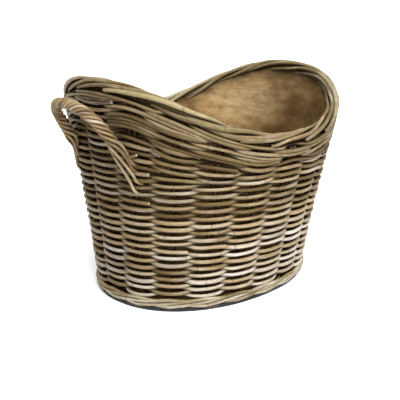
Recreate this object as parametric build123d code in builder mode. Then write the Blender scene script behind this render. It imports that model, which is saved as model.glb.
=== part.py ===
from build123d import *
import os
from math import copysign, cos, pi, radians, sin, tan

# ------------------------------------------------------------------ driving dimensions, in mm
# The basket stands on the floor at z = 0, its long axis along X and its centre line on Z.
end_height = 390.0          # floor to the top of the border at the two high ends
side_height = 301.0         # floor to the top of the border at mid front and mid back
foot_half_length = 207.0    # outer face of the wall at the floor, along X
foot_half_width = 160.0     # and along Y
rim_half_length = 247.0     # outer face of the wall at end_height, along X
rim_half_width = 258.0      # and along Y
oval_power = 2.2            # 2 makes the plan an ellipse, more makes it squarer
flare_straightness = 0.72   # 1 makes the wall a straight cone, less makes it flare more near the top
rim_swoop_power = 2.1       # how quickly the rim climbs towards the two ends

stake_count = 20            # stake pairs round the wall
stake_radius = 2.3
stake_half_gap = 4.8        # half the distance between the two stakes of a pair
stake_inset = 8.8           # outer face of the wall to the stakes' centres
stake_foot = 1.0            # the stakes stop this far above the floor

board_height = 6.0
board_margin = 3.0          # the board's edge is this far inside the wall's outer face
stake_hole_radius = 3.4
fit_gap = 0.3               # clearance between neighbouring pieces

wale_rods = 4
wale_radius = 2.4
wale_step = 7.0             # height between two strokes of the foot wale
wale_reach = 7.0            # how far a foot wale rod passes from the stakes' centres

weaver_radius = 2.6
weaver_reach = 5.9          # how far a weaver passes in front of or behind the stakes' centres
weaver_bend = 20.0          # bend radius of a weaver round a stake pair
weaver_bulge = 2.0          # what that bend takes off the reach
low_rows = 30               # level rows
swept_rows = 10             # full rows that follow the rim
end_pairs = 8               # pairs of short rows that build up each end
low_top = 216.0             # height of the top of the level rows
row_tail = 0.3              # a short row runs on for this part of a stake spacing

border_height = 27.0        # from the top of the weave to the top of the border
stake_drop = 3.0            # the stakes stop this far below the top of the weave
core_radius = 4.4
strand_radius = 4.0
strand_count = 4
strand_turns = 4            # turns of each border strand round the rim
rim_points = 60
rim_gap = 0.1               # gap between two rods' ends, as a part of one step between points

handle_width = 126.0        # between the centre lines of a handle's legs
handle_rise = 68.0          # from the legs' lower ends to the top of the bow
handle_reach = 44.0         # how far the bow leans out from the wall
handle_leg_height = 282.0   # where the legs meet the wall
handle_shift = 6.0          # the bows stand this far off the long axis
handle_squareness = 2.6    # 2 is a half ellipse, more is a squarer bow
handle_core_radius = 4.7
wrap_radius = 2.7
wrap_strands = 5
wrap_turns = 5.5

liner_thickness = 2.0
liner_inset = 18.2          # wall's outer face to the liner's outer face

nail_head_radius = 2.6
nail_count = 10


# ------------------------------------------------------------------ the wall's shape
def half_length(height):
    """Half length of the wall's outer face at a height."""
    part = height / end_height
    grown = flare_straightness * part + (1 - flare_straightness) * part**2
    return foot_half_length + (rim_half_length - foot_half_length) * grown


def half_width(height):
    """Half width of the wall's outer face at a height."""
    part = height / end_height
    grown = flare_straightness * part + (1 - flare_straightness) * part**2
    return foot_half_width + (rim_half_width - foot_half_width) * grown


def signed_power(value, power):
    """A power of the size of a number that keeps its sign."""
    return copysign(abs(value) ** power, value)


def outward(angle, height):
    """Level unit vector that points out of the wall."""
    power = 2 - 2 / oval_power
    across = signed_power(cos(angle), power) / half_length(height)
    along = signed_power(sin(angle), power) / half_width(height)
    return Vector(across, along, 0).normalized()


def wall_point(angle, height, inset):
    """Point at a height, a given distance inside the wall's outer face."""
    x = half_length(height) * signed_power(cos(angle), 2 / oval_power)
    y = half_width(height) * signed_power(sin(angle), 2 / oval_power)
    return Vector(x, y, height) - outward(angle, height) * inset


def rim_height(angle):
    """Height of the top of the border: low at the sides, high at the ends."""
    return side_height + (end_height - side_height) * abs(cos(angle)) ** rim_swoop_power


def even_angles(count):
    """Angles that space count points evenly round the middle of the wall, from +X."""
    steps = 7200
    trail = [wall_point(2 * pi * step / steps, end_height / 2, 0) for step in range(steps + 1)]
    travelled = [0.0]
    for before, after in zip(trail, trail[1:]):
        travelled.append(travelled[-1] + (after - before).length)
    angles = []
    for index in range(count):
        target = travelled[-1] * index / count
        step = next(i for i, distance in enumerate(travelled) if distance >= target)
        angles.append(2 * pi * step / steps)
    return angles


stake_angles = even_angles(stake_count)
stake_steps = range(stake_count)


# ------------------------------------------------------------------ shared makers
def oval(height, inset):
    """The wall's plan at a height, a given distance inside its outer face, as a sketch."""
    points = [wall_point(2 * pi * step / 24, height, inset) for step in range(24)]
    with BuildSketch(Plane.XY.offset(height)) as plan:
        with BuildLine():
            Spline(*[(point.X, point.Y) for point in points], periodic=True)
        make_face()
    return plan.sketch


def save(part, name):
    """Label a finished piece and write it to its own file."""
    part.label = name
    export_step(part, f"parts/{name}.step")


def smooth_radii(points):
    """Bend radii that leave each corner of a path as round as its runs allow."""
    radii = []
    for index in range(1, len(points) - 1):
        before = points[index] - points[index - 1]
        after = points[index + 1] - points[index]
        turn = radians(before.get_angle(after))
        radii.append(0.45 * min(before.length, after.length) / tan(turn / 2))
    return radii


def rod(points, radius, bend=None):
    """A round rod along straight runs joined by tangent arcs."""
    with BuildPart() as piece:
        with BuildLine() as route:
            FilletPolyline(*points, radius=bend if bend else smooth_radii(points))
        path = route.wire()
        with BuildSketch(Plane(origin=path @ 0, z_dir=path % 0)):
            Circle(radius)
        sweep()
    return piece.part


def ring(points, radius, bend):
    """A round rod that runs once round the wall until its two ends nearly meet."""
    seam = (points[-1] + points[0]) / 2
    tip = (points[0] - points[-1]).normalized() * fit_gap / 2
    return rod([seam + tip, *points, seam - tip], radius, bend)


# ------------------------------------------------------------------ base board and its nails
with BuildPart() as base_board:
    add(oval(0, board_margin))
    extrude(amount=board_height)
    stake_feet = []
    for angle in stake_angles:
        along = outward(angle, 0).rotate(Axis.Z, 90)
        for side in (-1, 1):
            foot = wall_point(angle, 0, stake_inset) + along * side * stake_half_gap
            stake_feet.append(foot)
    with Locations(*stake_feet):
        Hole(stake_hole_radius)
save(base_board.part, "base_board")

with BuildPart() as base_nails:
    for index in range(nail_count):
        angle = 2 * pi * (index + 0.5) / nail_count
        place = wall_point(angle, 0, liner_inset + 14)
        top = board_height + fit_gap + liner_thickness + fit_gap
        with BuildSketch(Plane(origin=(place.X, place.Y, top))):
            Circle(nail_head_radius)
        extrude(amount=1.2)
save(base_nails.part, "base_nails")


# ------------------------------------------------------------------ stakes
def stake_top(angle):
    """Height where a stake ends, under the border."""
    return rim_height(angle) - border_height - stake_drop


def stake_point(angle, height, side):
    """Point on the centre line of one stake of a pair."""
    along = outward(angle, 0).rotate(Axis.Z, 90)
    return wall_point(angle, height, stake_inset) + along * side * stake_half_gap


for index, angle in enumerate(stake_angles, start=1):
    with BuildPart() as stake_pair:
        for side in (-1, 1):
            low, high = stake_foot, stake_top(angle)
            with BuildLine() as stake_line:
                ThreePointArc(
                    stake_point(angle, low, side),
                    stake_point(angle, (low + high) / 2, side),
                    stake_point(angle, high, side),
                )
            path = stake_line.wire()
            with BuildSketch(Plane(origin=path @ 0, z_dir=path % 0)):
                Circle(stake_radius)
            sweep(path=path)
    save(stake_pair.part, f"stake_pair_{index:02}")

# ------------------------------------------------------------------ foot wale: over three, under one
wale_low = board_height + fit_gap + wale_radius
wale_strokes = [(1, 0), (1, 1), (1, 2), (-1, 1)]      # side of the stakes, level

for number in range(wale_rods):
    points = []
    for step, angle in enumerate(stake_angles):
        side, level = wale_strokes[(step + number) % wale_rods]
        height = wale_low + level * wale_step
        reach = wale_reach + weaver_bulge if side > 0 else wale_reach
        points.append(wall_point(angle, height, stake_inset - side * reach))
    save(ring(points, wale_radius, weaver_bend), f"foot_wale_rod_{number + 1}")

# ------------------------------------------------------------------ weave
weave_foot = wale_low + 2 * wale_step + wale_radius + fit_gap
low_pitch = (low_top - weave_foot) / low_rows
lift = [abs(cos(angle)) ** rim_swoop_power for angle in stake_angles]
pairs_at_stake = [round(end_pairs * value) for value in lift]
upper_pitch = [
    (rim_height(stake_angles[step]) - border_height - low_top)
    / (swept_rows + 2 * pairs_at_stake[step])
    for step in stake_steps
]


def weaver_point(step, height, side):
    """Where a weaver passes in front of (side 1) or behind (side -1) a stake pair."""
    reach = weaver_reach + weaver_bulge if side > 0 else weaver_reach
    return wall_point(stake_angles[step], height, stake_inset - side * reach)


def full_row(heights, parity):
    """A weaver all the way round, alternately in front of and behind the stake pairs."""
    points = []
    for step in stake_steps:
        side = 1 if (step + parity) % 2 else -1
        points.append(weaver_point(step, heights[step], side))
    return ring(points, weaver_radius, weaver_bend)


def row_end(step, towards, height, side):
    """Where a short row stops, part of the way to the next stake pair."""
    here, there = stake_angles[step % stake_count], stake_angles[towards % stake_count]
    gap = (there - here + pi) % (2 * pi) - pi
    reach = side * weaver_reach * (1 - 2 * row_tail)
    return wall_point(here + gap * row_tail, height, stake_inset - reach)


def short_row(heights, ground, parity, steps):
    """An open weaver over a run of neighbouring stakes, its ends sloping with the rows below."""
    points = []
    for step in (steps[0] - 1, *steps, steps[-1] + 1):
        here = min(max(step, steps[0]), steps[-1])
        side = 1 if (here + parity) % 2 else -1
        height = heights[here % stake_count]
        if step == here:
            points.append(weaver_point(here % stake_count, height, side))
        else:
            fall = ground[here % stake_count] - ground[step % stake_count]
            points.append(row_end(here, step, height - row_tail * fall, side))
    return rod(points, weaver_radius, weaver_bend)


# level rows, five to a course
rows_in_course = 5
for course in range(low_rows // rows_in_course):
    rows = []
    for row in range(course * rows_in_course, (course + 1) * rows_in_course):
        height = weave_foot + (row + 0.5) * low_pitch
        rows.append(full_row([height] * stake_count, row))
    save(Compound(children=rows), f"weave_course_{course + 1:02}")

# swept rows, with a pair of short rows at each end under most of them
end_stakes = {"right": stake_count, "left": stake_count // 2}
packing = {"right": [], "left": []}
swept = []
tops = [low_top] * stake_count
short_row_order = [3, 6, 2, 7, 4, 1, 5, 8]
for row in range(swept_rows):
    heights = [tops[step] + upper_pitch[step] / 2 for step in stake_steps]
    swept.append(full_row(heights, row))
    tops = [tops[step] + upper_pitch[step] for step in stake_steps]
    if row == 0 or row > len(short_row_order):
        continue
    rank = short_row_order[row - 1]
    for end, centre in end_stakes.items():
        steps = [
            step for step in range(centre - 5, centre + 6)
            if pairs_at_stake[step % stake_count] >= rank
        ]
        ground = list(tops)
        for parity in (row + 1, row):
            heights = [tops[step] + upper_pitch[step] / 2 for step in stake_steps]
            packing[end].append(short_row(heights, ground, parity, steps))
            for step in steps:
                tops[step % stake_count] += upper_pitch[step % stake_count]

for course in range(swept_rows // 2):
    save(Compound(children=swept[2 * course:2 * course + 2]), f"swept_course_{course + 1}")
for end, rows in packing.items():
    save(Compound(children=rows), f"{end}_end_packing")

# ------------------------------------------------------------------ border: a core with strands rolled round it
roll_radius = core_radius + 3 * fit_gap + strand_radius
border_inset = roll_radius + strand_radius


def rim_point(angle, out=0.0, up=0.0):
    """Point near the centre line of the border."""
    height = rim_height(angle) - border_inset
    return wall_point(angle, height, border_inset - out) + Vector(0, 0, up)


def rolled_rod(radius, out, turns, start):
    """Two rods, end to end, that together run once round the border's centre line."""
    halves = []
    half_count = rim_points // 2
    for half in range(2):
        points = []
        for step in range(half_count):
            share = (half + (step + 0.5 * rim_gap) / (half_count - 1 + rim_gap)) / 2
            roll = 2 * pi * (turns * share + start)
            points.append(rim_point(2 * pi * share, out * cos(roll), out * sin(roll)))
        halves.append(rod(points, radius))
    return Compound(children=halves)


save(rolled_rod(core_radius, 0, 0, 0), "rim_core")
for number in range(strand_count):
    start = number / strand_count
    save(rolled_rod(strand_radius, roll_radius, strand_turns, start), f"border_strand_{number + 1}")


# ------------------------------------------------------------------ handles
def handle_point(turn, end):
    """Point on a bow's centre line: turn runs from 0 to pi, end is -1 left or 1 right."""
    across = -cos(turn)
    sideways = abs(across) ** (2 / handle_squareness) * (1 if across > 0 else -1)
    out = sin(turn) ** (2 / handle_squareness) if sin(turn) > 1e-9 else 0.0
    y = end * handle_width / 2 * sideways - end * handle_shift
    squared_off = 1 - abs(y / half_width(handle_leg_height)) ** oval_power
    wall_x = half_length(handle_leg_height) * squared_off ** (1 / oval_power)
    clear = handle_core_radius + 2 * wrap_radius + 2 * fit_gap
    return Vector(end * (wall_x + clear + handle_reach * out), y, handle_leg_height + handle_rise * out)


def bow(end, count):
    """Evenly spaced points along a bow."""
    fine = 600
    trail = [handle_point(pi * step / fine, end) for step in range(fine + 1)]
    travelled = [0.0]
    for before, after in zip(trail, trail[1:]):
        travelled.append(travelled[-1] + (after - before).length)
    points = []
    for index in range(count):
        target = travelled[-1] * index / (count - 1)
        nearest = min(range(fine + 1), key=lambda step: abs(travelled[step] - target))
        points.append(trail[nearest])
    return points


for name, end in (("left", -1), ("right", 1)):
    save(rod(bow(end, 14), handle_core_radius), f"{name}_handle_core")
    wrap_points = round(wrap_turns * 10) + 1
    spine = bow(end, wrap_points)
    wrap_offset = handle_core_radius + 5 * fit_gap + wrap_radius
    strands = []
    for number in range(wrap_strands):
        points = []
        for step, centre in enumerate(spine):
            ahead = spine[min(step + 1, wrap_points - 1)] - spine[max(step - 1, 0)]
            first = ahead.cross(Vector(end * handle_rise, 0, -handle_reach)).normalized()
            second = ahead.cross(first).normalized()
            roll = 2 * pi * (wrap_turns * step / (wrap_points - 1) + number / wrap_strands)
            points.append(centre + (first * cos(roll) + second * sin(roll)) * wrap_offset)
        strands.append(rod(points, wrap_radius))
    save(Compound(children=strands), f"{name}_handle_wrap")

# ------------------------------------------------------------------ hessian liner
liner_foot = board_height + 2 * fit_gap + liner_thickness

with BuildPart() as liner_floor:
    add(oval(board_height + fit_gap, liner_inset))
    extrude(amount=liner_thickness)
save(liner_floor.part, "liner_floor")

liner_reach = 280
liner_heights = [liner_foot, 100.0, 200.0, 300.0, end_height]


def liner_solid(inset):
    """The room inside the wall, a given distance inside its outer face."""
    with BuildPart() as room:
        for height in liner_heights:
            add(oval(height, inset))
        loft()
    return room.part


def liner_top(x):
    """Height of the liner's edge, just under the border."""
    climb = abs(x / half_length(side_height)) ** rim_swoop_power
    return side_height - border_height - fit_gap + (end_height - side_height) * climb


with BuildPart() as liner_wall:
    add(liner_solid(liner_inset))
    add(liner_solid(liner_inset + liner_thickness), mode=Mode.SUBTRACT)
    with BuildSketch(Plane.XZ.offset(-half_width(end_height))):
        with BuildLine():
            edge = Spline(*[(x, liner_top(x)) for x in range(-liner_reach, liner_reach + 1, 35)])
            above = end_height + border_height
            Polyline(edge @ 1, (liner_reach, above), (-liner_reach, above), edge @ 0)
        make_face()
    extrude(amount=2 * half_width(end_height), mode=Mode.SUBTRACT)

# two panels, seamed in the middle of each low side
for name, keep, shift in (("left", Keep.BOTTOM, -fit_gap / 2), ("right", Keep.TOP, fit_gap / 2)):
    panel = split(liner_wall.part, bisect_by=Plane.YZ.offset(shift), keep=keep)
    save(panel, f"liner_{name}")
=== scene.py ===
from math import cos, pi, radians, sin

import bpy
import numpy as np
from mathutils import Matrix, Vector


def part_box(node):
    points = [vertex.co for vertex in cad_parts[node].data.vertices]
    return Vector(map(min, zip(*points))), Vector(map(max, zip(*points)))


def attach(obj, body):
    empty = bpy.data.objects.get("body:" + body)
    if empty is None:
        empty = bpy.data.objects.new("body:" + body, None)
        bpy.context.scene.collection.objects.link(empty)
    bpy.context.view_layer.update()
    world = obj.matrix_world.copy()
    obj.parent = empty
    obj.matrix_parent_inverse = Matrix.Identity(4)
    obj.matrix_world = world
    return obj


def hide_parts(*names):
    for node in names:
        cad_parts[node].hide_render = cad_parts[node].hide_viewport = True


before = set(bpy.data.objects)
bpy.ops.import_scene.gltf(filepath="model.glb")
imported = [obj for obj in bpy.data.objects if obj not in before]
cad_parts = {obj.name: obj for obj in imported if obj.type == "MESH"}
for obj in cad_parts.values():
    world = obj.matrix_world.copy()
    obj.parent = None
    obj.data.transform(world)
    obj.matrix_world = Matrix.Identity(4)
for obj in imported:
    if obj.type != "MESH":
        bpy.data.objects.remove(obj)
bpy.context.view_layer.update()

# ---------------------------------------------------------------- sizes, in metres, as in the CAD frame
MM = 0.001
END_HEIGHT = 0.390            # floor to the top of the border at the two high ends
SIDE_HEIGHT = 0.301           # and at mid front and mid back
FOOT = (0.207, 0.160)         # half length and half width of the wall's outer face at the floor
RIM = (0.247, 0.258)          # the same at END_HEIGHT
OVAL_POWER = 2.2              # 2 makes the plan an ellipse, more makes it squarer
FLARE_STRAIGHTNESS = 0.72     # 1 makes the wall a straight cone
SWOOP_POWER = 2.1             # how quickly the rim climbs towards the two ends

STAKES = 20                   # stake pairs round the wall
STAKE_INSET = 8.8 * MM        # outer face of the wall to the stakes' centres
STAKE_HALF_GAP = 4.8 * MM
STAKE_RADIUS = 2.4 * MM
STAKE_FOOT = 1.2 * MM         # height of the stakes' lower ends

BOARD_TOP = float(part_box("base_board")[1][2])
WEAVE_FOOT = BOARD_TOP + 19.4 * MM
LOW_TOP = 0.216               # height of the top of the level rows
LOW_ROWS = 30                 # level rows
ROWS_IN_COURSE = 5
SWEPT_ROWS = 10               # full rows that follow the rim
RIM_ROWS = 4                  # the last of them pass in front of two stake pairs at a time
END_PAIRS = 8                 # pairs of short rows that build up each end
SHORT_ROW_ORDER = (3, 6, 2, 7, 4, 1, 5, 8)      # from below: 1 is the longest pair, 8 the shortest
WEAVER_RADIUS = 3.15 * MM
RIM_WEAVER_RADIUS = 2.95 * MM
WEAVER_REACH = 6.6 * MM       # how far a weaver passes in front of or behind the stakes
CROSSING = 0.62               # stake spacings that a weaver needs to get behind a stake pair

WALE_RODS = 4                 # rods of the foot band
WALE_RADIUS = 3.0 * MM
WALE_FOOT = BOARD_TOP + 3.4 * MM
WALE_STEP = 6.6 * MM          # height between two strokes of the foot band
WALE_REACH = 7.6 * MM

BORDER_HEIGHT = 27 * MM       # from the top of the weave to the top of the border
BORDER_INSET = 13.3 * MM      # the border's centre line, in from the wall's face and down from its top
BORDER_CORE = 4.4 * MM
BORDER_ROD = 3.75 * MM
BORDER_ROLL = 8.8 * MM        # the rods' distance from the border's centre line
BORDER_RODS = 21
BORDER_SPAN = 4.3             # stake spacings that one rod runs for

HANDLE_WIDTH = 0.126          # between the centre lines of a handle's legs
HANDLE_RISE = 0.068
HANDLE_REACH = 0.044          # how far the bow leans out from the wall
HANDLE_LEG_HEIGHT = 0.282
HANDLE_SHIFT = 0.006          # the bows stand this far off the long axis
HANDLE_SQUARENESS = 2.6
HANDLE_CORE_RADIUS = 4.2 * MM
WRAP_RADIUS = 2.6 * MM
WRAP_STRANDS = 6
WRAP_TURNS = 4.3
TAIL_DROPS = (0.014, 0.024, 0.034, 0.046, 0.060, 0.078)
OUTSIDE_TAIL = 1              # this one is cut off outside

LINER_INSET = 18.6 * MM       # outer face of the wall to the lining
LINER_THICKNESS = 1.2 * MM
LINER_START = 5               # station of one seam between the wall panels; the other is opposite
LINER_LAP = 14 * MM           # the lining ends this far below the top of the border
LINER_FOOT = BOARD_TOP + 3.0 * MM
FOLDS = 16
STAIN_AND_SHADE_STATION = 19.4                   # station of a dark blot, partly a stain and partly painted shade
FLOOR_SHEET_LEVEL = 0.008     # the wall's size at this height gives the floor sheet's
FLOOR_SHEET_GAP = 8.5 * MM    # between the floor sheet's edge and the lining of the wall

VIEW_AZIMUTH = -42.9          # angles in degrees, the lens in mm
VIEW_ELEVATION = 13.3
VIEW_DISTANCE = 1.347
VIEW_LENS = 65.3
VIEW_SHIFT = (-0.007, -0.069)
KEY_TOWARD = (0.88, 0.44, 1.05)     # the key light's direction: to the camera, to its right and up
KEY_STRENGTH = 4.1
KEY_SOFTNESS = 48
FLOOR_REACH = 40.0

rng = np.random.default_rng(11)


# ---------------------------------------------------------------- the wall's shape
def signed_power(value, power):
    """A power that keeps the sign."""
    return np.sign(value) * np.abs(value) ** power


def half_axes(height):
    """Half length and half width of the wall's outer face at a height."""
    part = height / END_HEIGHT
    grown = FLARE_STRAIGHTNESS * part + (1 - FLARE_STRAIGHTNESS) * part**2
    return FOOT[0] + (RIM[0] - FOOT[0]) * grown, FOOT[1] + (RIM[1] - FOOT[1]) * grown


def outward(angle, height):
    """Level unit vectors that point out of the wall."""
    length, width = half_axes(height)
    power = 2 - 2 / OVAL_POWER
    across = signed_power(np.cos(angle), power) / length
    along = signed_power(np.sin(angle), power) / width
    size = np.hypot(across, along)
    return np.stack([across / size, along / size, np.zeros_like(size)], axis=-1)


def face_point(angle, height, inset=0.0):
    """Points a given distance inside the wall's outer face."""
    height = np.broadcast_to(height, np.shape(angle)).astype(float)
    length, width = half_axes(height)
    x = length * signed_power(np.cos(angle), 2 / OVAL_POWER)
    y = width * signed_power(np.sin(angle), 2 / OVAL_POWER)
    inset = np.broadcast_to(inset, np.shape(angle))
    return np.stack([x, y, height], axis=-1) - outward(angle, height) * inset[..., None]


def distance_along(path):
    """How far along a path each of its points is."""
    return np.r_[0, np.cumsum(np.linalg.norm(np.diff(path, axis=0), axis=1))]


# stations are spaced evenly round the wall at half height, so they are found by table
TURN_STEPS = np.linspace(0, 2 * pi, 14401)
TRAVELLED = distance_along(face_point(TURN_STEPS, END_HEIGHT / 2))
STAKE_SPACING = TRAVELLED[-1] / STAKES


def angle_at(station):
    """Angle of a place round the wall, counted in stake spacings from +X."""
    share = np.asarray(station, float) % STAKES / STAKES
    return np.interp(share * TRAVELLED[-1], TRAVELLED, TURN_STEPS)


def wall(station, height, out=0.0):
    """Points by the wall: out is the distance outside the stakes' centres."""
    return face_point(angle_at(station), height, STAKE_INSET - np.asarray(out))


def end_lift(station):
    """How far the rim has climbed: 0 at mid front and mid back and 1 at the two ends."""
    return np.abs(np.cos(angle_at(station))) ** SWOOP_POWER


def rim_height(station):
    """Height of the top of the border."""
    return SIDE_HEIGHT + (END_HEIGHT - SIDE_HEIGHT) * end_lift(station)


def drift(count, waves=6):
    """A smooth random line of a given number of values, about -1 to 1, that closes on itself."""
    turn = np.linspace(0, 2 * pi, count)
    line = np.zeros(count)
    for wave in range(1, waves + 1):
        line += rng.normal() * np.sin(wave * turn + rng.uniform(0, 2 * pi))
    return line / waves**0.5 / 1.4


# ---------------------------------------------------------------- bundles of cane
TIP_BEVEL = 0.25              # a cut tip stands out by this part of the radius
TIP_SIZE = 0.78               # and narrows to this part of it
TIP_TONE = (0.7, 0.55, 0.0)   # a cut face shows pale fresh wood
OVALNESS = 0.035              # how far a cane is from round, as parts of its radius
KNOBBLES = 0.03


def in_scene(name, data):
    """A new object in the scene."""
    made = bpy.data.objects.new(name, data)
    bpy.context.scene.collection.objects.link(made)
    return made


def carried_side(tangent):
    """Unit vectors square to a path, carried along it without twist."""
    side = np.cross(tangent[0], (0.3, 0.5, 0.81))
    sides = []
    for direction in tangent:
        side = side - side.dot(direction) * direction
        side = side / np.linalg.norm(side)
        sides.append(side)
    return np.array(sides)


def frames_along(path, up=None):
    """Unit tangents of a path and two rows of unit vectors square to them, the first one towards up."""
    step = np.gradient(path, axis=0)
    tangent = step / np.linalg.norm(step, axis=1)[:, None]
    if up is None:
        first = carried_side(tangent)
    else:
        up = np.broadcast_to(up, tangent.shape)
        side = up - (up * tangent).sum(axis=1)[:, None] * tangent
        first = side / np.linalg.norm(side, axis=1)[:, None]
    return tangent, first, np.cross(tangent, first)


class Bundle:
    """Round canes gathered in one mesh, with what the cane material reads.

    cane holds the distance along the cane and the place round it; tone holds the hue, the bleaching
    and the painted shade, each from 0 to 1.
    """

    def __init__(self):
        self.points, self.quads, self.fans = [], [], []
        self.cane, self.tone = [], []
        self.count = 0

    def add(self, path, radius, hue, bleach=0.0, painted_shade=0.0, up=None, sides=12, toward=None, grime=0.0):
        """One cane along a path.

        up keeps its frame from twisting; without it the frame is carried along. The last argument adds
        painted shade on the side that faces toward, where the cane touches its neighbours.
        """
        path = np.asarray(path, float)
        length = len(path)
        radius = np.broadcast_to(radius, length).astype(float)
        bleach = np.broadcast_to(bleach, length).astype(float)
        painted_shade = np.broadcast_to(painted_shade, length).astype(float)
        tangent, first, second = frames_along(path, up)
        along = distance_along(path)

        start_tip = path[0] - tangent[0] * radius[0] * TIP_BEVEL
        end_tip = path[-1] + tangent[-1] * radius[-1] * TIP_BEVEL
        rings = np.r_[0, np.arange(length), length - 1]
        centres = np.vstack([start_tip, path, end_tip])
        sizes = np.r_[radius[0] * TIP_SIZE, radius, radius[-1] * TIP_SIZE]
        places = np.r_[along[0], along, along[-1]]
        seed = rng.uniform(0, 50, 3)
        turn = np.linspace(0, 2 * pi, sides, endpoint=False)
        lump = 1 + OVALNESS * np.sin(2 * turn[None, :] + 30 * places[:, None] + seed[0])
        lump = lump * (1 + KNOBBLES * np.sin(3 * turn[None, :] - 55 * places[:, None] + seed[1]))
        reach = sizes[:, None] * lump
        ring_points = (
            centres[:, None, :]
            + (reach * np.cos(turn))[..., None] * first[rings][:, None, :]
            + (reach * np.sin(turn))[..., None] * second[rings][:, None, :]
        )
        count = len(rings)
        index = self.count + np.arange(count * sides).reshape(count, sides)
        after = np.roll(index, -1, axis=1)
        quads = np.stack([index[:-1], after[:-1], after[1:], index[1:]], axis=-1)
        self.quads.append(quads.reshape(-1, 4))
        ends = self.count + count * sides + np.arange(2)
        self.fans.append(np.stack([after[0], index[0], np.full(sides, ends[0])], axis=-1))
        self.fans.append(np.stack([index[-1], after[-1], np.full(sides, ends[1])], axis=-1))
        self.points.append(ring_points.reshape(-1, 3))
        self.points.append(centres[[0, -1]])
        round_place = np.stack(
            [
                np.repeat(places, sides) + seed[0],
                np.tile(np.cos(turn), count) * np.repeat(sizes, sides) + seed[1],
                np.tile(np.sin(turn), count) * np.repeat(sizes, sides) + seed[2],
            ],
            axis=-1,
        )
        tip_places = [[places[end] + seed[0], seed[1], seed[2]] for end in (0, -1)]
        self.cane.append(np.vstack([round_place, tip_places]))
        ring_tone = np.stack([np.full(count, hue), bleach[rings], painted_shade[rings]], axis=-1)
        tone = np.repeat(ring_tone, sides, axis=0)
        # painted shade on the side that faces toward
        if toward is not None:
            toward = np.broadcast_to(toward, path.shape)
            toward = (toward / np.linalg.norm(toward, axis=1)[:, None])[rings]
            facing = np.cos(turn) * (first[rings] * toward).sum(axis=1)[:, None]
            facing = facing + np.sin(turn) * (second[rings] * toward).sum(axis=1)[:, None]
            tone[:, 2] += (grime * np.clip(0.22 + 0.78 * facing, 0, 1) ** 1.4).ravel()
        tone[:sides] = tone[-sides:] = TIP_TONE
        self.tone.append(np.vstack([tone, TIP_TONE, TIP_TONE]))
        self.count += count * sides + 2

    def build(self, name, material):
        """The finished object."""
        mesh = bpy.data.meshes.new(name)
        points = np.vstack(self.points)
        quads = np.vstack(self.quads)
        fans = np.vstack(self.fans)
        corners = np.r_[quads.ravel(), fans.ravel()]
        starts = np.r_[np.arange(len(quads)) * 4, len(quads) * 4 + np.arange(len(fans)) * 3]
        mesh.vertices.add(len(points))
        mesh.vertices.foreach_set("co", points.ravel())
        mesh.loops.add(len(corners))
        mesh.loops.foreach_set("vertex_index", corners.astype(np.int32))
        mesh.polygons.add(len(starts))
        mesh.polygons.foreach_set("loop_start", starts.astype(np.int32))
        smooth = np.r_[np.ones(len(quads), bool), np.zeros(len(fans), bool)]
        mesh.polygons.foreach_set("use_smooth", smooth)
        mesh.update(calc_edges=True)
        for attribute, values in (("cane", self.cane), ("tone", self.tone)):
            layer = mesh.attributes.new(attribute, "FLOAT_VECTOR", "POINT")
            layer.data.foreach_set("vector", np.vstack(values).ravel())
        mesh.materials.append(material)
        return in_scene(name, mesh)


def place(piece, slot, *nodes):
    """Put a piece on the basket's one body, in place of its CAD node."""
    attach(piece, "root")
    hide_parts(*nodes)


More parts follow.
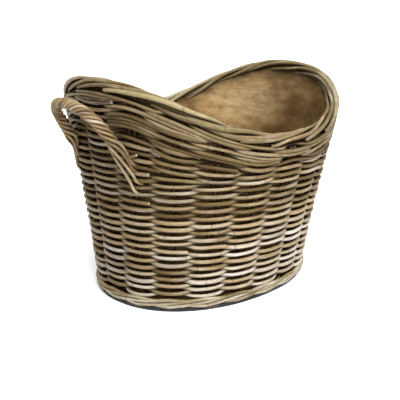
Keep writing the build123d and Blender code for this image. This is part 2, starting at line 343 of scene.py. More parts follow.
# ---------------------------------------------------------------- materials
class Nodes:
    """A short hand for making shader nodes."""

    def __init__(self, name):
        self.material = bpy.data.materials.new(name)
        self.material.use_nodes = True
        self.tree = self.material.node_tree
        self.shader = self.tree.nodes["Principled BSDF"]

    def link(self, value, socket):
        if isinstance(value, bpy.types.NodeSocket):
            self.tree.links.new(value, socket)
        else:
            socket.default_value = value

    def attribute(self, name):
        node = self.tree.nodes.new("ShaderNodeAttribute")
        node.attribute_name = name
        return node.outputs["Vector"]

    def object_place(self):
        return self.tree.nodes.new("ShaderNodeTexCoord").outputs["Object"]

    def split(self, vector):
        node = self.tree.nodes.new("ShaderNodeSeparateXYZ")
        self.link(vector, node.inputs[0])
        return node.outputs

    def scale(self, vector, factors):
        node = self.tree.nodes.new("ShaderNodeVectorMath")
        node.operation = "MULTIPLY"
        self.link(vector, node.inputs[0])
        node.inputs[1].default_value = factors
        return node.outputs[0]

    def math(self, operation, a, b=0.0, clamp=False):
        node = self.tree.nodes.new("ShaderNodeMath")
        node.operation = operation
        node.use_clamp = clamp
        self.link(a, node.inputs[0])
        self.link(b, node.inputs[1])
        return node.outputs[0]

    def noise(self, vector, scale, detail=3.0, rough=0.5):
        node = self.tree.nodes.new("ShaderNodeTexNoise")
        self.link(vector, node.inputs["Vector"])
        node.inputs["Scale"].default_value = scale
        node.inputs["Detail"].default_value = detail
        node.inputs["Roughness"].default_value = rough
        return node.outputs["Fac"]

    def ramp(self, value, stops):
        node = self.tree.nodes.new("ShaderNodeValToRGB")
        ramp = node.color_ramp
        ramp.interpolation = "LINEAR"
        while len(ramp.elements) < len(stops):
            ramp.elements.new(0.5)
        for element, (position, colour) in zip(ramp.elements, stops):
            element.position = position
            element.color = (*colour, 1)
        self.link(value, node.inputs[0])
        return node.outputs["Color"]

    def level(self, value, low, high, out_low=0.0, out_high=1.0):
        node = self.tree.nodes.new("ShaderNodeMapRange")
        self.link(value, node.inputs["Value"])
        limits = {"From Min": low, "From Max": high, "To Min": out_low, "To Max": out_high}
        for name, number in limits.items():
            node.inputs[name].default_value = number
        return node.outputs["Result"]

    def mix(self, share, a, b, blend="MIX"):
        node = self.tree.nodes.new("ShaderNodeMix")
        node.data_type = "RGBA"
        node.blend_type = blend
        self.link(share, node.inputs[0])
        self.link(a if isinstance(a, bpy.types.NodeSocket) else (*a, 1), node.inputs[6])
        self.link(b if isinstance(b, bpy.types.NodeSocket) else (*b, 1), node.inputs[7])
        return node.outputs[2]

    def bump(self, height, strength, distance, before=None):
        node = self.tree.nodes.new("ShaderNodeBump")
        node.inputs["Strength"].default_value = strength
        node.inputs["Distance"].default_value = distance
        self.link(height, node.inputs["Height"])
        if before is not None:
            self.link(before, node.inputs["Normal"])
        return node.outputs[0]

    def finish(self, colour, roughness, normal, specular):
        self.link(colour, self.shader.inputs["Base Color"])
        self.link(roughness, self.shader.inputs["Roughness"])
        self.link(normal, self.shader.inputs["Normal"])
        self.shader.inputs["Specular IOR Level"].default_value = specular
        return self.material


# the colour that painted shade darkens a cane towards
SHADE_COLOUR = (0.020, 0.011, 0.004)
JOINT = (0.10, 0.062, 0.034)
MOULD = (0.09, 0.06, 0.035)
BLEACHED = [(0.30, (0.460, 0.435, 0.395)), (0.75, (0.265, 0.245, 0.210))]
STREAK_TINT = (0.55, 0.47, 0.40)


def cane_material(name, hues, joint_spacing=0.17):
    """Weathered rattan: streaks along the cane, blotches, bleached lengths and joints, and painted shade.
    """
    n = Nodes(name)
    cane = n.attribute("cane")
    hue, bleach, painted_shade = n.split(n.attribute("tone"))
    along = n.split(cane)[0]

    blotch = n.noise(n.scale(cane, (1.0, 5.0, 5.0)), 22.0, 3.0)
    streak = n.noise(n.scale(cane, (0.06, 1.0, 1.0)), 1500.0, 4.0, 0.65)
    speck = n.noise(n.scale(cane, (0.5, 1.0, 1.0)), 900.0, 2.0)

    shifted = n.math("ADD", hue, n.level(blotch, 0.3, 0.7, -0.13, 0.13))
    colour = n.ramp(shifted, hues)
    darker = n.mix(1.0, colour, STREAK_TINT, "MULTIPLY")
    colour = n.mix(n.level(streak, 0.35, 0.7), colour, darker)

    pale = n.math("ADD", bleach, n.level(blotch, 0.3, 0.75, -0.22, 0.25))
    pale = n.math("MULTIPLY", n.level(pale, 0.18, 0.85), n.level(streak, 0.2, 0.75, 1.0, 0.62))
    colour = n.mix(pale, colour, n.ramp(streak, BLEACHED))

    # joints: a dark ring every hand's breadth or so
    beat = n.math("FRACT", n.math("DIVIDE", along, joint_spacing))
    ring = n.math("ABSOLUTE", n.math("SUBTRACT", beat, 0.5))
    ring = n.level(ring, 0.0, 0.012, 1.0, 0.0)
    colour = n.mix(n.math("MULTIPLY", ring, 0.55), colour, JOINT)

    # mould specks, and painted shade where the cane turns in and where it touches its neighbours
    spots = n.level(speck, 0.66, 0.74)
    colour = n.mix(n.math("MULTIPLY", spots, 0.5), colour, MOULD)
    shade_amount = n.math("MULTIPLY", painted_shade, n.level(blotch, 0.2, 0.8, 0.75, 1.0), True)
    colour = n.mix(shade_amount, colour, SHADE_COLOUR)

    roughness = n.level(streak, 0.3, 0.75, 0.36, 0.62)
    normal = n.bump(streak, 0.35, 0.0006)
    lumps = n.math("SUBTRACT", n.math("MULTIPLY", blotch, 0.6), ring)
    normal = n.bump(lumps, 0.45, 0.0009, normal)
    return n.finish(colour, roughness, normal, 0.16)


# the colours that a cane's hue, from 0 to 1, runs through
WEAVER_HUES = [
    (0.00, (0.118, 0.086, 0.044)),
    (0.20, (0.165, 0.130, 0.068)),
    (0.42, (0.236, 0.191, 0.117)),
    (0.64, (0.301, 0.250, 0.165)),
    (0.82, (0.240, 0.188, 0.116)),
    (1.00, (0.150, 0.098, 0.054)),
]
BORDER_HUES = [
    (0.00, (0.086, 0.062, 0.032)),
    (0.28, (0.145, 0.116, 0.064)),
    (0.58, (0.214, 0.184, 0.108)),
    (0.84, (0.284, 0.250, 0.160)),
    (1.00, (0.162, 0.118, 0.066)),
]
HANDLE_HUES = [
    (0.00, (0.088, 0.058, 0.030)),
    (0.35, (0.150, 0.110, 0.063)),
    (0.70, (0.224, 0.175, 0.106)),
    (1.00, (0.282, 0.227, 0.147)),
]
# the stakes' hues are the cane's own colour made darker by painted shade, as the stakes stand in the gaps
# of the weave
SHADED_STAKE_HUES = [
    (0.00, (0.048, 0.025, 0.010)),
    (0.50, (0.085, 0.047, 0.022)),
    (1.00, (0.130, 0.078, 0.038)),
]

THREAD = 1.7 * MM
STAINS = [(0.34, (0.140, 0.091, 0.045)), (0.46, (0.335, 0.238, 0.124)), (0.60, (0.455, 0.352, 0.212))]
DARK_PATCH = (0.165, 0.104, 0.048)
DARK_LINE = (0.190, 0.124, 0.060)
PALE_SLUB = (0.46, 0.35, 0.20)
SHADE_BETWEEN_THREADS = (0.10, 0.062, 0.030)
CLOTH_SHADE = (0.060, 0.042, 0.024)


def thread_wave(n, distance, uneven):
    """A wave with one crest for each thread."""
    wander = n.math("ADD", distance, n.math("MULTIPLY", uneven, 0.0008))
    return n.math("SINE", n.math("MULTIPLY", wander, 2 * pi / THREAD))


def hessian_material():
    """Jute hessian: a plain weave of uneven threads, blotched and stained, with painted shade between the
    threads and where the sheets mark it.
    """
    n = Nodes("hessian_cloth")
    cloth = n.attribute("cloth")
    across, up, shade = n.split(cloth)
    uneven = n.noise(n.scale(cloth, (0.12, 1.0, 1.0)), 420.0, 2.0)
    uneven_up = n.noise(n.scale(cloth, (1.0, 0.12, 1.0)), 420.0, 2.0)
    weave = n.math("MULTIPLY", thread_wave(n, across, uneven_up), thread_wave(n, up, uneven))
    stain = n.noise(n.scale(cloth, (0.7, 1.0, 0.0)), 11.0, 6.0, 0.62)
    patch = n.noise(n.scale(cloth, (0.55, 1.0, 0.0)), 46.0, 5.0, 0.65)
    slub = n.noise(n.scale(cloth, (0.08, 1.0, 1.0)), 650.0, 3.0)
    lines = n.noise(n.scale(cloth, (0.05, 1.0, 0.0)), 330.0, 3.0, 0.6)

    colour = n.ramp(stain, STAINS)
    colour = n.mix(n.level(patch, 0.45, 0.66, 0.0, 0.66), colour, DARK_PATCH)
    colour = n.mix(n.level(lines, 0.48, 0.68, 0.0, 0.36), colour, DARK_LINE)
    colour = n.mix(n.level(slub, 0.45, 0.75, 0.0, 0.4), colour, PALE_SLUB)
    # painted shade between the threads
    colour = n.mix(n.level(weave, -1.0, 1.0, 0.32, 0.0), colour, SHADE_BETWEEN_THREADS)
    # painted shade where the sheets mark it, with darker seams and a stain among it
    cloth_shade_share = n.math("MULTIPLY", shade, n.level(patch, 0.3, 0.7, 0.6, 1.1), True)
    colour = n.mix(cloth_shade_share, colour, CLOTH_SHADE)
    normal = n.bump(weave, 0.6, 0.0005)
    normal = n.bump(slub, 0.4, 0.0006, normal)
    return n.finish(colour, 0.95, normal, 0.05)


def board_material():
    """Near-black board with a faint grain and paler rubbed patches."""
    n = Nodes("stained_board")
    coordinates = n.object_place()
    grain = n.noise(n.scale(coordinates, (0.08, 1.0, 1.0)), 260.0, 5.0, 0.6)
    wear = n.noise(coordinates, 24.0, 4.0)
    colour = n.ramp(grain, [(0.3, (0.018, 0.020, 0.024)), (0.7, (0.055, 0.055, 0.060))])
    colour = n.mix(n.level(wear, 0.55, 0.72, 0.0, 0.5), colour, (0.14, 0.12, 0.10))
    roughness = n.level(wear, 0.3, 0.7, 0.5, 0.75)
    return n.finish(colour, roughness, n.bump(grain, 0.3, 0.0004), 0.3)


def nail_material():
    """Dull steel nail heads with a little rust."""
    n = Nodes("nail_steel")
    rust = n.noise(n.object_place(), 500.0, 4.0)
    colour = n.mix(n.level(rust, 0.5, 0.7), (0.42, 0.40, 0.37), (0.20, 0.09, 0.04))
    n.shader.inputs["Metallic"].default_value = 0.9
    roughness = n.level(rust, 0.3, 0.7, 0.3, 0.7)
    return n.finish(colour, roughness, n.bump(rust, 0.2, 0.0002), 0.5)


def floor_material():
    """Plain pale floor."""
    n = Nodes("pale_floor")
    mottle = n.noise(n.object_place(), 3.0, 2.0)
    colour = n.ramp(mottle, [(0.3, (0.78, 0.78, 0.78)), (0.7, (0.80, 0.80, 0.80))])
    return n.finish(colour, 0.9, n.bump(mottle, 0.02, 0.001), 0.1)


# ---------------------------------------------------------------- the weave
STATIONS = np.arange(STAKES)
STEPS_PER_STAKE = 12
SQUARENESS = 1.35             # how squarely a weaver turns in and out between stake pairs
STARTS_BEFORE = 0.28          # a new cane starts this many stake spacings before its change
ENDS_AFTER = 0.22             # and the old one ends this many behind it
FREE_END = 0.45               # a cane that is cut off outside stands off over this length
BLEACHED_SIDE = radians(-70)
# the two ends where a weaver's open face gets the most painted shade
SHADED_LEFT, SHADED_RIGHT = radians(165), radians(330)


def smooth_between(values, station):
    """A smooth closed line through one value per stake."""
    values = np.asarray(values, float)
    lower = np.floor(station).astype(int)
    part = station - lower
    before, here = values[(lower - 1) % STAKES], values[lower % STAKES]
    there, beyond = values[(lower + 1) % STAKES], values[(lower + 2) % STAKES]
    rise, fall = (there - before) / 2, (beyond - here) / 2
    square, cube = part**2, part**3
    return (
        here * (2 * cube - 3 * square + 1)
        + rise * (cube - 2 * square + part)
        + there * (3 * square - 2 * cube)
        + fall * (cube - square)
    )


def bleaching(station, height):
    """How bleached the cane is at a place: most near the foot and on the BLEACHED_SIDE."""
    angle = angle_at(station)
    low = np.clip((0.17 - height) / 0.15, 0, 1)
    band = np.exp(-(((height - 0.115) / 0.035) ** 2))
    facing = 0.5 + 0.5 * np.cos(angle - BLEACHED_SIDE)
    return 0.10 + 0.34 * low + 0.26 * band * facing + 0.12 * facing * low


def end_and_border_shade(station, height):
    """Painted shade on a weaver's open face: most at the two ends, some all round under the border."""
    left_end = np.clip(np.cos(angle_at(station) - SHADED_LEFT), 0, 1) ** 2
    right_end = np.clip(np.cos(angle_at(station) - SHADED_RIGHT), 0, 1) ** 2
    high = np.clip((height - 0.19) / 0.08, 0, 1)
    anywhere = 0.04 + 0.32 * left_end + 0.14 * right_end
    return anywhere + high * (0.17 - 0.08 * left_end + 0.26 * right_end)


def behind(beat, over):
    """From 0 to 1, how far a cane has gone behind the last stake pair of its beat."""
    return np.clip(1 - np.abs(beat - over) / CROSSING, 0, 1)


def toward_shade(station, height):
    """The way to the stakes and the cane below, where a weaver gets painted shade."""
    return -0.75 * outward(angle_at(station), height) - np.array([0, 0, 0.65])


def weave_side(station, parity, over):
    """1 where a weaver is outside the stakes and -1 where it is inside."""
    if over == 1:
        return -np.cos(pi * (station + parity))
    return np.cos(pi * behind((station + parity) % (over + 1), over))


def weave_cane(bundle, heights, parity, first, last, hue, radius, over=1, leave_out=False, tuck=True):
    """One weaver from station first to last, in front of as many stake pairs as over, behind the next."""
    count = max(4, int(round((last - first) * STEPS_PER_STAKE)) + 1)
    station = np.linspace(first, last, count)
    height = smooth_between(heights, station)
    side = weave_side(station, parity, over)
    bend = np.tanh(SQUARENESS * side) / np.tanh(SQUARENESS)
    if leave_out:
        # the cut end stays in front of its last stake pair and stands a little off the weave
        bend = np.where(station > last - FREE_END, 1 + 0.15 * (station - last + FREE_END), bend)
    wobble = drift(count, 5)
    out = WEAVER_REACH * bend * (1 + 0.05 * drift(count, 4))
    height = height + 0.6 * MM * wobble - 0.9 * MM * bend
    path = wall(station, height, out)
    thick = radius * (1 + 0.05 * drift(count, 7))
    thick = thick * (1 - 0.10 * np.clip(-side, 0, 1))
    if tuck:
        ends = np.minimum(station - first, last - station)
        thick = thick * np.clip(0.72 + 0.28 * ends / 0.4, 0.72, 1)
    # painted shade where the weaver passes in behind the stakes, and on its open face at the two ends and
    # under the border
    painted_shade = 0.92 * np.clip(0.30 - 0.70 * side, 0, 1) ** 1.1
    painted_shade = np.maximum(painted_shade, end_and_border_shade(station, height))
    pale = np.clip(bleaching(station, height) + 0.18 * drift(count, 4) + rng.normal(0, 0.19), 0, 1)
    # painted shade on the side that faces the stakes and the cane below
    toward = toward_shade(station, height)
    bundle.add(path, thick, hue, pale, painted_shade, up=(0, 0, 1), toward=toward, grime=1.0)


def cane_hue(height):
    """Hue of a weaver: browner and more olive towards the rim."""
    middle = 0.58 - 0.34 * np.clip((height - 0.13) / 0.15, 0, 1)
    return float(np.clip(rng.normal(middle, 0.27), 0.02, 0.98))


def full_row(bundle, heights, parity, stub_chance, over=1, radius=WEAVER_RADIUS, cuts=2):
    """A row all the way round, made of a few canes whose ends are tucked in or cut off outside."""
    mean = float(np.mean(heights))
    # canes change over behind a stake pair
    start = 2.0 * int(rng.integers(0, STAKES // 2)) + parity % 2
    if over > 1:
        start = float(over - parity % (over + 1))
    beat = over + 1
    laps = STAKES // beat
    changes = sorted({0, *(int(rng.integers(1, laps)) * beat for _ in range(cuts)), STAKES})
    for first, last in zip(changes, changes[1:]):
        thick = radius * rng.uniform(0.88, 1.13)
        hue = cane_hue(mean)
        begin, end = start + first - STARTS_BEFORE, start + last + ENDS_AFTER
        if rng.random() < stub_chance and last - first > 3:
            # cut off outside, one stake pair early; a thinner cane fills the rest
            cut = start + last - 1 + 0.42
            weave_cane(bundle, heights, parity, begin, cut, hue, thick, over, leave_out=True, tuck=False)
            begin, end = start + last - 0.40, start + last + 0.25
            weave_cane(bundle, heights, parity, begin, end, cane_hue(mean), thick * 0.9, over)
        else:
            weave_cane(bundle, heights, parity, begin, end, hue, thick, over)


def level_courses(material):
    """The level rows of the lower wall, one piece for each course."""
    pitch = (LOW_TOP - WEAVE_FOOT) / LOW_ROWS
    for course in range(LOW_ROWS // ROWS_IN_COURSE):
        bundle = Bundle()
        for row in range(course * ROWS_IN_COURSE, (course + 1) * ROWS_IN_COURSE):
            height = WEAVE_FOOT + (row + 0.5) * pitch
            heights = height + rng.normal(0, 0.35 * MM, STAKES)
            full_row(bundle, heights, row, 0.10 if course < 4 else 0.35)
        name = f"weave_course_{course + 1:02}"
        place(bundle.build(f"{name}_canes", material), "weaver_rattan", name)


def swept_courses(material):
    """The rows that follow the rim, and between them pairs of short rows that build up the two ends."""
    pairs = np.round(END_PAIRS * end_lift(STATIONS)).astype(int)
    pitch = (rim_height(STATIONS) - BORDER_HEIGHT - LOW_TOP) / (SWEPT_ROWS + 2 * pairs)
    tops = np.full(STAKES, LOW_TOP)
    centres = {"right": STAKES, "left": STAKES // 2}
    packing = {"right": Bundle(), "left": Bundle()}
    courses = [Bundle() for _ in range(SWEPT_ROWS // 2)]
    for row in range(SWEPT_ROWS):
        bundle = courses[row // 2]
        heights = tops + pitch / 2 + rng.normal(0, 0.3 * MM, STAKES)
        upper = row >= SWEPT_ROWS - RIM_ROWS
        if upper:
            full_row(bundle, heights, 2 * row, 0.7, 2, RIM_WEAVER_RADIUS, 4)
        else:
            full_row(bundle, heights, row, 0.6, 1, WEAVER_RADIUS * 1.02, 4)
        tops = tops + pitch
        if row == 0 or row > len(SHORT_ROW_ORDER):
            continue
        rank = SHORT_ROW_ORDER[row - 1]
        over = 2 if upper else 1
        for end, centre in centres.items():
            steps = [step for step in range(centre - 5, centre + 6) if pairs[step % STAKES] >= rank]
            for parity in (2 * row + 2, 2 * row + 1) if upper else (row + 1, row):
                first = steps[0] - rng.uniform(0.5, 0.8)
                last = steps[-1] + rng.uniform(0.5, 0.8)
                radius = WEAVER_RADIUS * rng.uniform(0.92, 1.15)
                outside = weave_side(float(steps[-1]), parity, over) > 0 and rng.random() < 0.7
                hue = cane_hue(0.3)
                heights = tops + pitch / 2
                weave_cane(packing[end], heights, parity, first, last, hue, radius, over, outside)
                for step in steps:
                    tops[step % STAKES] += pitch[step % STAKES]
    full_row(courses[-1], tops + 2.6 * MM, 2 * SWEPT_ROWS, 0.3, 2, RIM_WEAVER_RADIUS)
    for number, bundle in enumerate(courses, start=1):
        name = f"swept_course_{number}"
        place(bundle.build(f"{name}_canes", material), "weaver_rattan", name)
    for end, bundle in packing.items():
        place(bundle.build(f"{end}_end_packing_canes", material), "weaver_rattan", f"{end}_end_packing")


def foot_wale_pieces(material):
    """The foot band: one piece for each rod, in front of all stake pairs of its beat but the last."""
    fine = 14
    station = np.arange(0, STAKES * fine + 1) / fine
    count = len(station)
    climb = [0, 1, 2, 1, 0]
    for number in range(WALE_RODS):
        bundle = Bundle()
        beat = (station + number) % WALE_RODS
        dip = 0.5 - 0.5 * np.cos(pi * behind(beat, WALE_RODS - 1))
        rise = np.interp(beat, np.arange(WALE_RODS + 1), climb) + 0.07 * drift(count, 9)
        out = WALE_REACH * (1 - 1.85 * dip) + 0.5 * MM * drift(count, 9)
        height = WALE_FOOT + WALE_STEP * rise
        path = wall(station, height, out)
        size = WALE_RADIUS * (1 + 0.06 * drift(count, 9))
        pale = np.clip(0.32 + 0.24 * drift(count, 5), 0, 1)
        hue = float(rng.uniform(0.35, 0.75))
        # painted shade where the rod goes behind the stakes, and on its side towards the stakes and the
        # rod below
        toward = toward_shade(station, height)
        bundle.add(path, size, hue, pale, 0.5 * dip, up=(0, 0, 1), toward=toward, grime=0.9)
        name = f"foot_wale_rod_{number + 1}"
        place(bundle.build(f"{name}_cane", material), "border_rattan", name)


def stake_pieces(material):
    """The doubled stakes, one piece for each pair."""
    count = 40
    for index in range(STAKES):
        bundle = Bundle()
        top = float(rim_height(index)) - BORDER_HEIGHT
        height = np.linspace(STAKE_FOOT, top, count)
        for side in (-1, 1):
            shift = side * STAKE_HALF_GAP / STAKE_SPACING
            station = index + shift + 0.006 * drift(count, 3)
            path = wall(station, height, 0.3 * MM * drift(count, 4))
            size = STAKE_RADIUS * rng.uniform(0.92, 1.06) * (1 + 0.05 * drift(count, 5))
            # a steady share of painted shade on every stake
            bundle.add(path, size, float(rng.uniform(0.1, 0.9)), 0.05, 0.22, up=(1, 0.2, 0))
        name = f"stake_pair_{index + 1:02}"
        place(bundle.build(f"{name}_canes", material), "stake_rattan", name)


# ---------------------------------------------------------------- the border
ROD_START, PROUD_START, ROD_END = -80, -30, 230     # degrees round the core: 0 is out and 90 is up
ROD_SINK = 3.2 * MM           # an end that isn't proud sinks this far into the roll


def border_point(station, out, up):
    """Points near the border's centre line."""
    height = rim_height(station) - BORDER_INSET
    points = face_point(angle_at(station), height, BORDER_INSET - out)
    points[:, 2] += up
    return points


def border_pieces(material):
    """The rim core, and the rolled rods shared out over the four CAD strands."""
    bundle = Bundle()
    for half in range(2):
        station = np.linspace(half * 10 + 0.02, half * 10 + 9.98, 160)
        # the core lies inside the roll: painted shade over all of it
        bundle.add(border_point(station, 0.0, 0.0), BORDER_CORE, 0.2, 0.0, 0.7)
    place(bundle.build("rim_core_cane", material), "border_rattan", "rim_core")

    # each rod starts outside under the roll, climbs over the top and ends inside
    count = 110
    part = np.linspace(0, 1, count)
    bundles = [Bundle() for _ in range(4)]
    for number in range(BORDER_RODS):
        first = STAKES * number / BORDER_RODS + rng.uniform(-0.12, 0.12)
        last = first + BORDER_SPAN + rng.uniform(-0.3, 0.3)
        station = np.linspace(first, last, count)
        tilt = rng.uniform(-9, 9)
        ends = np.clip(np.minimum(part, 1 - part) / 0.16, 0, 1)
        proud = rng.random(2) < (0.6, 0.4)
        begin = PROUD_START if proud[0] else ROD_START
        roll = np.radians(begin + tilt + (ROD_END - begin) * part + 13 * drift(count, 3))
        away = BORDER_ROLL + 0.8 * MM * drift(count, 4)
        away = away - ROD_SINK * np.clip(1 - part / 0.14, 0, 1) * (not proud[0])
        away = away - ROD_SINK * np.clip(1 - (1 - part) / 0.14, 0, 1) * (not proud[1])
        away = away + 2.0 * MM * np.clip(1 - part / 0.10, 0, 1) * proud[0]
        path = border_point(station, away * np.cos(roll), away * np.sin(roll))
        size = BORDER_ROD * rng.uniform(0.82, 1.16) * (0.88 + 0.12 * ends)
        size = size * (1 + 0.03 * drift(count, 5))
        hue = float(np.clip(rng.normal(0.52, 0.22), 0.03, 0.97))
        pale = np.clip(rng.normal(0.18, 0.12) + 0.12 * drift(count, 4), 0, 1)
        # painted shade on the roll's underside and inner side, and on each rod's side towards the core
        roll_shade = np.clip(-np.sin(roll), 0, 1) * 0.45 + np.clip(-np.cos(roll), 0, 1) * 0.15
        toward = border_point(station, 0.0, 0.0) - path
        bundles[number % 4].add(path, size, hue, pale, roll_shade, sides=16, toward=toward, grime=1.0)
    for number, bundle in enumerate(bundles, start=1):
        name = f"border_strand_{number}"
        place(bundle.build(f"{name}_canes", material), "border_rattan", name)


# ---------------------------------------------------------------- handles
HANDLE_STEPS = 200
ROPE_TRIM = 7                 # the strands leave the core this many steps from its ends
TAIL_STEPS = (20, 13)         # points down to the bend of a tail, and on from there


def handle_line(end, count):
    """Evenly spaced points along a bow: end is -1 for the left handle and 1 for the right."""
    turn = np.linspace(0, pi, 1200)
    across = -np.cos(turn)
    sideways = signed_power(across, 2 / HANDLE_SQUARENESS)
    out = np.clip(np.sin(turn), 0, 1) ** (2 / HANDLE_SQUARENESS)
    y = end * (HANDLE_WIDTH / 2 * sideways - HANDLE_SHIFT)
    length, width = half_axes(HANDLE_LEG_HEIGHT)
    wall_x = length * (1 - np.abs(y / width) ** OVAL_POWER) ** (1 / OVAL_POWER)
    clear = HANDLE_CORE_RADIUS + 2 * WRAP_RADIUS
    x = end * (wall_x + clear + HANDLE_REACH * out)
    trail = np.stack([x, y, HANDLE_LEG_HEIGHT + HANDLE_RISE * out], axis=-1)
    travelled = distance_along(trail)
    target = np.linspace(0, travelled[-1], count)
    return np.stack([np.interp(target, travelled, trail[:, axis]) for axis in range(3)], axis=-1)


def bezier(points, count):
    """A smooth curve drawn by four control points."""
    part = np.linspace(0, 1, count)[:, None]
    a, b, c, d = (np.asarray(point, float) for point in points)
    return (
        a * (1 - part) ** 3
        + 3 * b * part * (1 - part) ** 2
        + 3 * c * part**2 * (1 - part)
        + d * part**3
    )


def station_of(point):
    """The place round the wall that a point stands by."""
    stations = np.linspace(0, STAKES, 4001)
    trail = wall(stations, point[2])
    return float(stations[np.argmin(np.hypot(trail[:, 0] - point[0], trail[:, 1] - point[1]))])


def handle_tail(spine, rope, number, at_start):
    """The tail of a strand, from the end of its rope down over the weave."""
    tip, before = (rope[0], rope[5]) if at_start else (rope[-1], rope[-6])
    leave = (tip - before) / np.linalg.norm(tip - before)
    station = station_of(tip)
    across_bow = station_of(spine[HANDLE_STEPS // 2]) - station_of(spine[0 if at_start else -1])
    inward = 1 if across_bow > 0 else -1
    rank = (number * 5 + (0 if at_start else 2)) % WRAP_STRANDS
    fan = -inward * (0.12 + 0.075 * rank) * rng.uniform(0.85, 1.15)
    drop = TAIL_DROPS[rank] * rng.uniform(0.9, 1.1)
    outside = rank == OUTSIDE_TAIL
    bend = wall(station + fan * 0.85, tip[2] - drop * (1.12 if outside else 0.88), 11.0 * MM)
    above = bend + (wall(station + fan * 0.3, tip[2] - drop * 0.2, 14.5 * MM) - bend) * 0.45
    if outside:
        # lies along the weave
        landing = wall(station + fan * 2.3, tip[2] - drop * 0.92, 12.8 * MM)
        turn_in = wall(station + fan * 1.2, tip[2] - drop * 1.15, 12.4 * MM)
    else:
        # turns in between two rows
        landing = wall(station + fan * 1.12, tip[2] - drop * 1.02, 1.0 * MM)
        turn_in = bend + (bend - above) * 0.3
    down = bezier([tip, tip + leave * 0.014, above, bend], TAIL_STEPS[0])
    on = bezier([bend, turn_in, (turn_in + landing) / 2, landing], TAIL_STEPS[1])
    return np.vstack([down, on[1:]])


def handle_pieces(name, end, material):
    """A bow with strands roped round it, slacker towards its feet, and their tails over the weave."""
    count = HANDLE_STEPS
    spine = handle_line(end, count)
    bundle = Bundle()
    # painted shade over all of the core, which lies inside the wrap
    bundle.add(spine, HANDLE_CORE_RADIUS * 0.98, 0.3, 0.0, 0.8)
    place(bundle.build(f"{name}_handle_core_cane", material), "handle_rattan", f"{name}_handle_core")

    bundle = Bundle()
    _, first, second = frames_along(spine)
    core = spine[ROPE_TRIM:-ROPE_TRIM]
    beside_tail = sum(TAIL_STEPS) - 2
    inside = np.vstack([core[:1].repeat(beside_tail, 0), core, core[-1:].repeat(beside_tail, 0)])
    share = np.linspace(0, 1, count)
    wound = share + 0.3 * np.sin(2 * pi * (share - 0.5)) / (2 * pi)
    slack = np.clip((np.abs(share - 0.5) - 0.2) / 0.3, 0, 1)
    for number in range(WRAP_STRANDS):
        size = WRAP_RADIUS * rng.uniform(0.92, 1.08)
        roll = -2 * pi * (WRAP_TURNS * wound + number / WRAP_STRANDS) + 0.07 * drift(count, 4)
        away = (HANDLE_CORE_RADIUS + size * 0.93) * (0.98 + 0.20 * slack)
        ring = first * np.cos(roll)[:, None] + second * np.sin(roll)[:, None]
        rope = (spine + ring * away[:, None])[ROPE_TRIM:-ROPE_TRIM]
        tails = [handle_tail(spine, rope, number, at_start) for at_start in (True, False)]
        path = np.vstack([tails[0][:0:-1], rope, tails[1][1:]])
        length = len(path)
        thick = size * (1 + 0.04 * drift(length, 6))
        hue = float(np.clip(rng.normal(0.55, 0.25), 0.03, 0.97))
        pale = 0.16 + 0.13 * drift(length, 5)
        # painted shade on each strand's side towards the core
        bundle.add(path, thick, hue, pale, 0.04, toward=inside - path, grime=0.95)
    place(bundle.build(f"{name}_handle_wrap_canes", material), "handle_rattan", f"{name}_handle_wrap")


# ---------------------------------------------------------------- hessian lining
def sheet_object(name, points, cloth, wrap, material):
    """A sheet from a grid of points; wrap joins its last column to its first."""
    rows, columns = points.shape[:2]
    index = np.arange(rows * columns).reshape(rows, columns)
    right = np.roll(index, -1, axis=1) if wrap else index[:, 1:]
    left = index if wrap else index[:, :-1]
    faces = np.stack([left[:-1], right[:-1], right[1:], left[1:]], axis=-1).reshape(-1, 4)
    mesh = bpy.data.meshes.new(name)
    mesh.from_pydata(points.reshape(-1, 3).tolist(), [], faces.tolist())
    layer = mesh.attributes.new("cloth", "FLOAT_VECTOR", "POINT")
    layer.data.foreach_set("vector", cloth.reshape(-1).astype(float))
    mesh.polygons.foreach_set("use_smooth", np.ones(len(faces), bool))
    mesh.materials.append(material)
    piece = in_scene(name, mesh)
    solid = piece.modifiers.new("thickness", "SOLIDIFY")
    solid.thickness = LINER_THICKNESS
    solid.offset = 0
    return piece


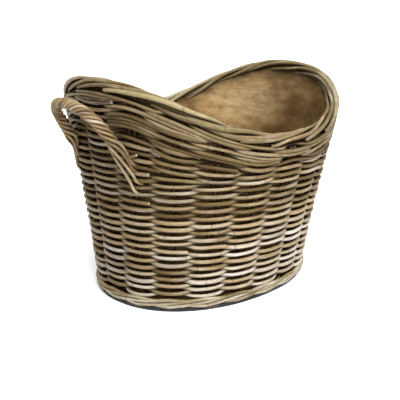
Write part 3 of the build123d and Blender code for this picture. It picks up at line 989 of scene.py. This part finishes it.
def liner_panels(material):
    """The hessian on the wall: two panels sewn together, with soft folds."""
    columns, rows = 481, 70
    start, opposite, finish = LINER_START, LINER_START + STAKES // 2, LINER_START + STAKES
    station = np.linspace(start, finish, columns)
    foot = LINER_FOOT
    top = rim_height(station) - LINER_LAP
    part = np.linspace(0, 1, rows)[:, None]
    height = foot + (top - foot)[None, :] * part
    below_top = (1 - part) * (top - foot)[None, :]
    angle = np.broadcast_to(angle_at(station), height.shape)

    # how far the cloth stands in from the wall, in mm
    fold = np.zeros_like(height)
    for _ in range(FOLDS):
        centre, width = rng.uniform(0, STAKES), rng.uniform(0.25, 0.9)
        lean, depth = rng.uniform(-1.4, 1.4), rng.uniform(0.6, 2.6)
        gap = (station[None, :] - centre - lean * part + STAKES / 2) % STAKES - STAKES / 2
        fold += depth * np.exp(-((gap / width) ** 2)) * np.sin(pi * np.clip(part * 1.15, 0, 1)) ** 0.6
    pull = 0.6 * np.cos(2 * pi * station)[None, :] * np.clip(part * 3 - 2, 0, 1)
    sag = 2.2 * np.exp(-(((part - 0.12) / 0.10) ** 2)) * (1 + 0.4 * drift(columns, 9))[None, :]
    inward = np.clip(fold * 0.75 + pull + sag + 0.7, 0.3, 6.5)
    # the two seams are pulled tight and stand in as a low ridge
    from_start = np.minimum(station - start, finish - station)
    seam = np.minimum(np.abs(station - opposite), from_start)[None, :]
    inward = inward * (1 - 0.7 * np.exp(-((seam / 0.25) ** 2))) + 1.2 * np.exp(-((seam / 0.03) ** 2))
    tucked = np.clip(1 - below_top / 0.016, 0, 1) ** 2
    inward = (inward * (1 - tucked) - 1.6 * tucked) * MM
    # the sheet turns in at the foot and meets the floor sheet
    turn_in = 7 * MM * np.clip(1 - (height - foot) / (9 * MM), 0, 1) ** 2
    points = face_point(angle, height, LINER_INSET + inward + turn_in)

    # painted shade at the foot and under the border, darker along the seams, and one blot that is partly
    # a stain and partly painted shade
    under_border = np.exp(-((below_top / 0.018) ** 2))
    shade = 0.55 * np.clip(1.0 - part * 2.2, 0, 1) + 0.9 * under_border
    from_stain_and_shade = ((station - STAIN_AND_SHADE_STATION) % STAKES + 10) % STAKES - 10
    stain_and_shade = np.exp(-((from_stain_and_shade / 1.5) ** 2))[None, :]
    shade = np.clip(shade + 0.5 * stain_and_shade * (1.1 - 0.4 * part), 0, 1)
    shade = np.clip(shade + 0.5 * np.exp(-((seam / 0.035) ** 2)), 0, 1)
    travelled = (station - start)[None, :] * STAKE_SPACING
    cloth = np.stack([np.broadcast_to(travelled, height.shape), height, shade], axis=-1)
    middle = columns // 2
    for name, share in (("liner_left", slice(0, middle + 1)), ("liner_right", slice(middle, columns))):
        panel_points = points[:, share]
        panel = sheet_object(f"{name}_cloth", panel_points, cloth[:, share], False, material)
        place(panel, "hessian", name)


def liner_floor(material):
    """The hessian floor sheet, gently rippled on the board."""
    rings, spokes = 40, 240
    share = np.linspace(0.004, 1, rings)[:, None]
    angle = np.linspace(0, 2 * pi, spokes, endpoint=False)[None, :]
    length, width = half_axes(FLOOR_SHEET_LEVEL)
    edge = FLOOR_SHEET_GAP + LINER_INSET
    x = (length - edge) * share * signed_power(np.cos(angle), 2 / OVAL_POWER)
    y = (width - edge) * share * signed_power(np.sin(angle), 2 / OVAL_POWER)
    ripple = 0.5 * np.sin(41 * x + 17 * y + 1.0) * np.sin(33 * y - 9 * x)
    ripple = ripple + 0.4 * np.sin(90 * x + 60 * y)
    z = BOARD_TOP + (2.3 + 0.8 * ripple * (1 - share**4)) * MM
    points = np.stack([x, y, z], axis=-1)
    # painted shade: a little all over the floor sheet and more towards its edge by the wall
    cloth = np.stack([x, y, np.clip(0.25 + 0.5 * share**3 + 0 * x, 0, 1)], axis=-1)
    floor_sheet = sheet_object("liner_floor_cloth", points, cloth, True, material)
    place(floor_sheet, "hessian", "liner_floor")


# ---------------------------------------------------------------- stage, light and camera
def stage():
    """Pale floor, soft light from the front right and above, and the camera."""
    scene = bpy.context.scene
    mesh = bpy.data.meshes.new("floor")
    reach = FLOOR_REACH
    corners = [(-reach, -reach, 0), (reach, -reach, 0), (reach, reach, 0), (-reach, reach, 0)]
    mesh.from_pydata(corners, [], [(0, 1, 2, 3)])
    mesh.materials.append(floor_material())
    floor = in_scene("floor", mesh)

    world = bpy.data.worlds.new("studio")
    world.use_nodes = True
    background = world.node_tree.nodes["Background"]
    background.inputs["Color"].default_value = (1.0, 1.0, 1.0, 1)
    background.inputs["Strength"].default_value = 1.0
    scene.world = world
    azimuth = radians(VIEW_AZIMUTH)
    toward = np.array([sin(azimuth), -cos(azimuth), 0])
    right = np.array([cos(azimuth), sin(azimuth), 0])
    key = toward * KEY_TOWARD[0] + right * KEY_TOWARD[1] + np.array([0, 0, KEY_TOWARD[2]])
    sun = bpy.data.lights.new("key", "SUN")
    sun.energy = KEY_STRENGTH
    sun.angle = radians(KEY_SOFTNESS)
    lamp = in_scene("key", sun)
    lamp.rotation_euler = (-Vector(key)).to_track_quat("-Z", "Y").to_euler()

    camera = bpy.data.cameras.new("camera")
    camera.lens = VIEW_LENS
    camera.sensor_width = 36
    camera.shift_x, camera.shift_y = VIEW_SHIFT
    camera.clip_end = 50
    eye = in_scene("camera", camera)
    elevation = radians(VIEW_ELEVATION)
    back = Vector((sin(azimuth) * cos(elevation), -cos(azimuth) * cos(elevation), sin(elevation)))
    eye.location = Vector((0, 0, END_HEIGHT / 2)) + back * VIEW_DISTANCE
    eye.rotation_euler = back.to_track_quat("Z", "Y").to_euler()
    scene.camera = eye
    scene.view_settings.view_transform = "Standard"
    scene.view_settings.look = "High Contrast"


# ---------------------------------------------------------------- the basket
weaver = cane_material("weaver_cane", WEAVER_HUES)
border = cane_material("border_cane", BORDER_HUES, joint_spacing=0.23)
handle = cane_material("handle_cane", HANDLE_HUES, joint_spacing=0.21)
stake = cane_material("shaded_stake_cane", SHADED_STAKE_HUES)
hessian = hessian_material()

stage()
level_courses(weaver)
swept_courses(weaver)
foot_wale_pieces(border)
stake_pieces(stake)
border_pieces(border)
handle_pieces("left", -1, handle)
handle_pieces("right", 1, handle)
liner_panels(hessian)
liner_floor(hessian)

board = board_material()
nails = nail_material()
for node, material in (("base_board", board), ("base_nails", nails)):
    piece = bpy.data.objects[node]
    piece.data.materials.clear()
    piece.data.materials.append(material)
